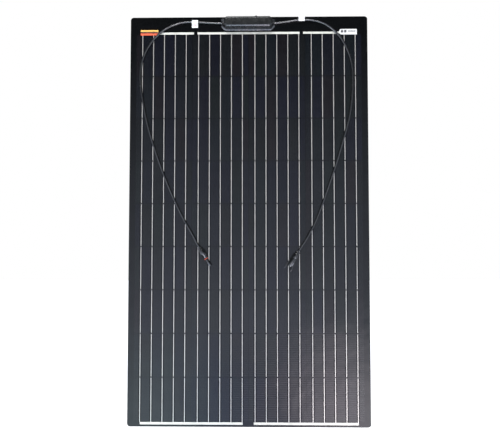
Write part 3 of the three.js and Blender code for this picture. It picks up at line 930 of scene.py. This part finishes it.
def make_box_lid():
    """A cover with bevelled edges, a skirt that fits in the tray, and a small tab on its upper edge."""
    low, high = span("junction_box_base")
    back, front = span("lid_gasket")[0].y - 0.05, span("junction_box_lid")[0].y
    bm = bmesh.new()
    add_loft(bm, [
        octagon(low, high, 0, back, BOX_CHAMFER), octagon(low, high, 0, back - LID_EDGE, BOX_CHAMFER),
        octagon(low, high, LID_BEVEL, front, BOX_CHAMFER - 2.5),
    ])
    bmesh.ops.recalc_face_normals(bm, faces=bm.faces)
    bevelled(bm, 0.7, segments=3, angle=20)
    outer, inner = SKIRT_INSET, SKIRT_INSET + SKIRT_WALL
    root, rim = back + 0.1, back + SKIRT_DEPTH
    skirt = [
        octagon(low, high, inset, depth, BOX_CHAMFER - 1.5)
        for inset, depth in ((outer, root), (outer, rim), (inner, rim), (inner, root))
    ]
    add_loft(bm, [*skirt, skirt[0]], caps=False)
    merge(bm)
    tab = bmesh.new()
    add_box(tab, (TAB_MIDDLE - 2.5, back - LID_EDGE, high.z - 1), (TAB_MIDDLE + 2.5, back, high.z + 1.6))
    bevelled(tab, 0.3, segments=2)
    join(bm, tab)
    lid = from_bmesh("box_lid", bm, [BOX_PLASTIC])
    stand_in(lid, "lid", "junction_box_lid")


def sealant_path(low, high, bead_low, bead_high):
    """Down one side of the box, along its foot and up the other side, in steps of about 1.5 mm. Gives
    (point at the wall, outward direction, width of the bead) for each step."""
    wide_west, wide_east, wide_foot = low.x - bead_low.x, bead_high.x - high.x, low.z - bead_low.z
    top = high.z - 1.5
    shoulder, foot = low.z + BOX_CHAMFER, low.z
    west, east = low.x + BOX_CHAMFER, high.x - BOX_CHAMFER
    stops = [
        ((low.x, 0, top), (-1, 0, 0), wide_west), ((low.x, 0, shoulder), (-1, 0, 0), wide_west),
        ((low.x, 0, shoulder), (-1, 0, -0.2), wide_west), ((west, 0, foot), (-0.35, 0, -1), wide_foot),
        ((west + 6, 0, foot), (0, 0, -1), wide_foot), ((east - 6, 0, foot), (0, 0, -1), wide_foot),
        ((east, 0, foot), (0.35, 0, -1), wide_foot), ((high.x, 0, shoulder), (1, 0, -0.2), wide_east),
        ((high.x, 0, shoulder), (1, 0, 0), wide_east), ((high.x, 0, top), (1, 0, 0), wide_east),
    ]
    path = []
    for (start, start_out, start_width), (end, end_out, end_width) in zip(stops, stops[1:]):
        start, end, start_out, end_out = (Vector(v) for v in (start, end, start_out, end_out))
        count = max(2, int((end - start).length / 1.5))
        for t in (step / count for step in range(count)):
            width = start_width + (end_width - start_width) * t
            path.append((start.lerp(end, t), start_out.lerp(end_out, t).normalized(), width))
    return path


def make_sealant():
    """Silicone squeezed out around three sides of the box: a lumpy ridge that rises against its walls."""
    bead_low, bead_high = span("sealant_bead")
    film = -FILM_FRONT
    height = film - bead_low.y
    gap = 0.05
    rings = []
    for wall, outward, width in sealant_path(*span("junction_box_base"), bead_low, bead_high):
        lump = noise.noise(wall * 0.16)
        ripple = noise.noise(wall * 0.5 + Vector((9, 2, 5)))
        reach = width * (0.93 + 0.07 * lump + 0.03 * ripple)
        rise = height * (0.82 + 0.16 * lump + 0.08 * ripple)
        section = []
        for step in range(9):
            t = step / 8
            up = rise * math.sqrt(max(1 - (1.35 * t - 0.35) ** 2, 0)) if t > 0 else rise * 0.96
            point = wall + outward * (reach * t + gap)
            section.append((point.x, film - max(up, 0.02), point.z))
        near, far = wall + outward * gap, wall + outward * (reach + gap)
        section.append((far.x, film + 0.02, far.z))
        section.append((near.x, film + 0.02, near.z))
        rings.append(section)
    bm = bmesh.new()
    add_loft(bm, rings)
    bead = from_bmesh("sealant", bm, [SEALANT_GLOSS], sharp_angle=75)
    stand_in(bead, "row_1", "sealant_bead")


def make_relief(side):
    """A short ribbed stub that the lead comes out of."""
    low, high = span(f"strain_relief_{side}")
    middle = (low + high) / 2
    radius, length = (high.y - low.y) / 2, high.x - low.x
    bore = LEAD_RADIUS + 0.15
    profile = [
        (bore, 0), (radius - 0.2, 0), (radius, 0.3), (radius, 1.4), (radius - 0.7, 1.7),
        (radius - 0.7, 2.2), (radius - 0.1, 2.5), (radius - 0.1, 3.3), (radius - 0.8, 3.6),
        (radius - 0.9, length - 0.3), (radius - 1.1, length), (bore, length), (bore, 0),
    ]
    turn = Matrix.Rotation(math.radians(-90 if side == "right" else 90), 4, "Z")
    start = Matrix.Translation((low.x if side == "right" else high.x, middle.y, middle.z))
    relief = from_bmesh(f"relief_{side}", turned(profile), [SOFT_RUBBER], transform=start @ turn)
    stand_in(relief, "row_1", f"strain_relief_{side}")
    return relief


def make_junction_box():
    """The box's own pieces, and finishes for the CAD parts that show when its lid is off."""
    make_box_base()
    make_box_lid()
    make_sealant()
    finishes = {
        "lid_gasket": SOFT_RUBBER, "potting": RESIN, "terminal_positive": PLATED_METAL,
        "terminal_middle": PLATED_METAL, "terminal_negative": PLATED_METAL,
        "bypass_diode_left": BOX_PLASTIC, "bypass_diode_right": BOX_PLASTIC,
    }
    for name, material in finishes.items():
        slots = frame["nodes"][name].data.materials
        slots.clear()
        slots.append(material)


# ---------------------------------------------------------------- couplers

NUT_RIBS = 12


def coupler_matrix(side):
    """From a coupler's own axes (x to one side, y along it, z to the front) to the frame's."""
    origin, along = joint_place(f"{side}_nut_turn")
    front = Vector((0, -1, 0))
    across = along.cross(front)
    turn = Matrix((across, along, front)).transposed().to_4x4()
    return Matrix.Translation(origin) @ turn


def coupler_piece(name, bm, side, body, node, material=COUPLER_PLASTIC):
    piece = from_bmesh(name, bm, [material], transform=coupler_matrix(side))
    stand_in(piece, body, node)
    return piece


def make_nut(side):
    """A gland nut: a smooth cap, then a collar with grip ribs."""
    cap, collar, length = 6.3, 8.35, 21
    rib_top, rib_width = 8.78, 1.9
    bore, socket, seat = LEAD_RADIUS + 0.3, 6.5, 9.8
    bm = turned([
        (bore, 0.2), (cap - 1.2, 0), (cap - 0.4, 0.3), (cap, 1.2), (cap, 4.6), (cap - 1.0, 5.0),
        (cap - 1.0, 6.6), (collar - 0.6, 7.0), (collar, 7.9), (collar, length - 0.8),
        (collar - 0.3, length - 0.2), (socket, length), (socket, seat), (bore, seat), (bore, 0.2),
    ], sides=48)
    for turn in turns(NUT_RIBS):
        rib = bmesh.new()
        add_box(rib, (collar - 0.4, 8.6, -rib_width / 2), (rib_top, length - 1.6, rib_width / 2))
        bevelled(rib, 0.28, segments=2)
        rib.transform(Matrix.Rotation(turn, 4, "Y"))
        join(bm, rib)
    return coupler_piece(f"nut_{side}", bm, side, f"{side}_nut", f"coupler_{side}_nut")


def make_slim_housing():
    """The left coupler's housing: a shoulder, a neck for the seal ring and a long narrow barrel."""
    profile = [
        (0, 10), (6.1, 10), (6.1, 21.4), (8.2, 21.4), (8.8, 21.9), (8.7, 22.4), (7.1, 26.4), (6.6, 27.2),
        (6.6, 32.2), (6.2, 32.9), (5.5, 33.7), (3.5, 34.1), (3.4, 34.3), (3.4, 36.6), (4.1, 36.8),
        (4.2, 37.4), (4.2, 56.6), (4.0, 57.4), (3.5, 58), (2.6, 58), (2.6, 37), (0, 37),
    ]
    return coupler_piece("slim_housing", turned(profile), "left", "row_6", "coupler_left_housing")


def make_o_ring():
    major, minor, along = 4.72, 1.0, 35.4
    section = [(major + minor * math.cos(turn), along + minor * math.sin(turn)) for turn in turns(14)]
    rings = [
        [(radius * math.cos(turn), y, radius * math.sin(turn)) for radius, y in section]
        for turn in turns(48)
    ]
    bm = bmesh.new()
    add_loft(bm, [*rings, rings[0]], caps=False)
    merge(bm)
    return coupler_piece(
        "seal_ring", bm, "left", "row_6", "coupler_left_o_ring", RED_RUBBER,
    )


def make_wide_housing():
    """The right coupler's housing: a wide round sleeve with a recess on each side for a latch arm."""
    profile = [
        (0, 10), (6.1, 10), (6.1, 21.4), (8.2, 21.4), (8.7, 21.9), (8.95, 23.4), (8.95, 45.8), (8.6, 46.6),
        (8.0, 47), (5.7, 47), (5.7, 27.1), (0, 27.1),
    ]
    sleeve = turned(profile, sides=48)
    piece = coupler_piece("wide_housing", sleeve, "right", "row_6", "coupler_right_housing")
    cutter = bmesh.new()
    for x0, x1 in ((-12, -7), (7, 12)):
        add_box(cutter, (x0, 29.7, -3.3), (x1, 49, 3.3))
    tool = from_bmesh("recess_tool", cutter, [COUPLER_PLASTIC], transform=coupler_matrix("right"))
    cut = piece.modifiers.new("recess", "BOOLEAN")
    cut.object = tool
    cut.operation = "DIFFERENCE"
    cut.solver = "EXACT"
    bpy.context.view_layer.update()
    depsgraph = bpy.context.evaluated_depsgraph_get()
    done = bpy.data.meshes.new_from_object(piece.evaluated_get(depsgraph))
    piece.modifiers.clear()
    piece.data = done
    piece.data.set_sharp_from_angle(angle=math.radians(SHARP_ANGLE))
    bpy.data.objects.remove(tool)
    return piece


def make_latch(which, side):
    """A latch arm with a hook at its end. side is 1 or -1, the side of the coupler that it lies on."""
    outline = [
        (7.5, 30), (9.9, 30), (10.3, 30.6), (10.3, 50.8), (11.6, 51.5), (11.5, 52.4), (10.2, 57.5),
        (9.7, 58), (8.7, 58), (8.5, 57.6), (8.5, 33.2), (7.5, 32.2),
    ]
    bm = bmesh.new()
    rings = [[(side * x, y, z) for x, y in outline] for z in (-3, 3)]
    add_loft(bm, rings)
    bmesh.ops.recalc_face_normals(bm, faces=bm.faces)
    bevelled(bm, 0.3, segments=2, angle=60)
    return coupler_piece(
        f"latch_{which}", bm, "right", f"latch_{which}", f"coupler_right_latch_{which}",
    )


def make_metal_pins():
    """The contact in the left coupler and the pin in the right one."""
    contact = [(0, 37.2), (2.2, 37.2), (2.2, 56), (1.8, 56.5), (1.2, 56.5), (1.2, 40), (0, 40)]
    pin = [(0, 24.5), (1.9, 24.5), (1.9, 41.5), (1.7, 42.8), (1.2, 43.9), (0.5, 44.4), (0, 44.5)]
    return [
        coupler_piece(
            name, turned(profile, sides=24), side, "row_6", f"coupler_{side}_{name}", PLATED_METAL,
        )
        for name, profile, side in (("contact", contact, "left"), ("pin", pin, "right"))
    ]


# ---------------------------------------------------------------- tapes and labels

TAPE_CROWN = {"left": 569.1, "right": 573.9}
TAPE_THICKNESS = 0.14
TAPE_STEPS = 10


def tape_line(side, low, high):
    """A tape's section, from its foot up over the lead, as points of y and z."""
    crown = TAPE_CROWN[side]
    lead_y, rise, spread = -6, LEAD_RADIUS + 0.3, LEAD_RADIUS + 0.9
    face = -RIBBON_FRONT - 0.06
    first = -0.2 if side == "left" else 0.6
    arch = []
    for step in range(13):
        turn = first + (math.pi + 0.2 - first) * step / 12
        arch.append((lead_y - rise * math.sin(turn), crown - spread * math.cos(turn)))
    after = [(face - 0.25, crown + 4.4), (face, crown + 5.2)]
    if side == "left":
        foot = crown - 5.2
        before = [(face, low.z), (face, (low.z + foot) / 2), (face, foot), (face - 0.25, crown - 4.4)]
        return [*before, *arch, *after, (face, high.z)]
    rim = SHEET_HIGH.z + 0.1
    over = [(face, rim - 0.4), (-2.4, rim), (-1.2, rim), (0.05, rim), (0.12, rim - 0.5), (0.12, 577.2)]
    return [*arch, *after, *over]


def make_tape(side, material):
    """A strip of paper tape over the lead. The left one lies on the film on both sides of it. The right
    one starts on the lead and folds over the sheet's top edge."""
    low, high = span(f"tape_{side}")
    line = tape_line(side, low, high)
    rings = []
    for step in range(TAPE_STEPS + 1):
        x = low.x + (high.x - low.x) * step / TAPE_STEPS
        inner, outer = [], []
        for i, (y, z) in enumerate(line):
            y0, z0 = line[max(i - 1, 0)]
            y1, z1 = line[min(i + 1, len(line) - 1)]
            length = math.hypot(y1 - y0, z1 - z0)
            ny, nz = -(z1 - z0) / length, (y1 - y0) / length
            wrinkle = 0.12 * noise.noise(Vector((x * 0.35, y * 0.5, z * 0.35)))
            lift = max(wrinkle, 0) + TAPE_THICKNESS
            inner.append((x, y, z))
            outer.append((x, y + ny * lift, z + nz * lift))
        rings.append([*inner, *reversed(outer)])
    bm = bmesh.new()
    add_loft(bm, rings)
    tape = from_bmesh(f"paper_tape_{side}", bm, [material], sharp_angle=50)
    stand_in(tape, "row_1", f"tape_{side}")


def printed_label(name, node, outline, prints, base):
    """A label of the given outline in x and z, with printed patches: (material, x0, z0, x1, z1)."""
    low, high = span(node)
    is_front = high.y < 0
    back = high.y if is_front else low.y
    toward = -1 if is_front else 1
    paper_y, ink_y = back + toward * 0.1, back + toward * 0.13
    bm = bmesh.new()
    add_loft(bm, [[(x, y, z) for x, z in outline] for y in (back, paper_y)])
    materials = [base]
    for material, x0, z0, x1, z1 in prints:
        if material not in materials:
            materials.append(material)
        y0, y1 = sorted((paper_y, ink_y))
        add_box(bm, (x0, y0, z0), (x1, y1, z1), material=materials.index(material))
    label = from_bmesh(name, bm, materials)
    stand_in(label, "row_1", node)


def jagged_marks(material, west, east, start, height):
    """A row of small uneven marks that stand up, or hang down, from a line. They spell nothing."""
    chooser = random.Random(7)
    marks = []
    x = west
    while x < east - 2:
        width = chooser.uniform(0.9, 2.4)
        end = start + height * chooser.uniform(0.3, 1.0)
        marks.append((material, x, min(start, end), min(x + width, east), max(start, end)))
        x += width + chooser.uniform(0.5, 1.8)
    return marks


def rectangle(low, high):
    return [(low.x, low.z), (high.x, low.z), (high.x, high.z), (low.x, high.z)]


def make_colour_label(maroon):
    """Yellow above and orange below, with a dark band of uneven marks between."""
    yellow, orange = ink("ink_yellow", (0.80, 0.46, 0.10)), ink("ink_orange", (0.75, 0.10, 0.035))
    low, high = span("label_left")
    tall = high.z - low.z
    seam, top = low.z + 0.40 * tall, low.z + 0.64 * tall
    prints = [
        (yellow, low.x, top, high.x, high.z), (orange, low.x, low.z, high.x, seam),
        (maroon, low.x, seam, high.x, top),
        *jagged_marks(maroon, low.x + 2, high.x - 2, top, 0.16 * tall),
        *jagged_marks(maroon, low.x + 2, high.x - 2, seam, -0.1 * tall),
    ]
    printed_label("colour_label", "label_left", rectangle(low, high), prints, yellow)


def make_white_label(white, dark):
    """Two blocky marks and a row of thin bars, on a label with a blunt point at its left."""
    grey = ink("ink_grey", (0.07, 0.07, 0.08))
    low, high = span("label_right")
    middle = (low.z + high.z) / 2 + 1
    edges = [
        (low.x, middle), (low.x + 4.2, low.z), (high.x, low.z), (high.x, high.z), (low.x + 3.5, high.z),
    ]
    prints = []
    for x in (low.x + 5.5, low.x + 14.5):
        prints += [
            (dark, x, middle - 3.2, x + 2.6, high.z - 2.6),
            (dark, x + 3.4, middle - 3.2, x + 6.4, high.z - 2.6),
            (grey, x + 2.6, middle - 1.6, x + 3.4, high.z - 4.2),
        ]
    for k in range(11):
        x = low.x + 25 + 2 * k
        prints.append((grey, x, middle - 2.4, x + 1.1, high.z - 3.2))
    printed_label("white_label", "label_right", edges, prints, white)


def make_rating_label(white, dark):
    """A heading bar over seven lines, each in two parts."""
    low, high = span("rear_label")
    prints = [(dark, low.x + 6, high.z - 12, high.x - 6, high.z - 6)]
    for k in range(7):
        z = high.z - 18 - 6 * k
        prints.append((dark, low.x + 6, z - 1.4, low.x + 38, z))
        prints.append((dark, high.x - 26, z - 1.4, high.x - 6, z))
    printed_label("rating_label", "rear_label", rectangle(low, high), prints, white)


def make_labels():
    white = paper("label_white", (0.72, 0.72, 0.715))
    dark = ink("ink_dark", (0.035, 0.032, 0.04))
    make_colour_label(ink("ink_maroon", (0.07, 0.014, 0.009)))
    make_white_label(white, dark)
    make_rating_label(white, dark)


# ---------------------------------------------------------------- everything together

make_laminate()
make_junction_box()
reliefs = {side: make_relief(side) for side in ("left", "right")}
left_pieces = [make_nut("left"), make_slim_housing(), make_o_ring()]
right_pieces = [make_nut("right"), make_wide_housing(), make_latch("upper", 1), make_latch("lower", -1)]
contact, pin = make_metal_pins()
make_lead("left", LEFT_ROUTE)
make_lead("right", RIGHT_ROUTE)
make_tape("left", paper("tape_paper_left", (0.84, 0.84, 0.85), mark=(-150.6, -2.7, 561.7)))
make_tape("right", paper("tape_paper_right", (0.84, 0.84, 0.85)))
make_labels()
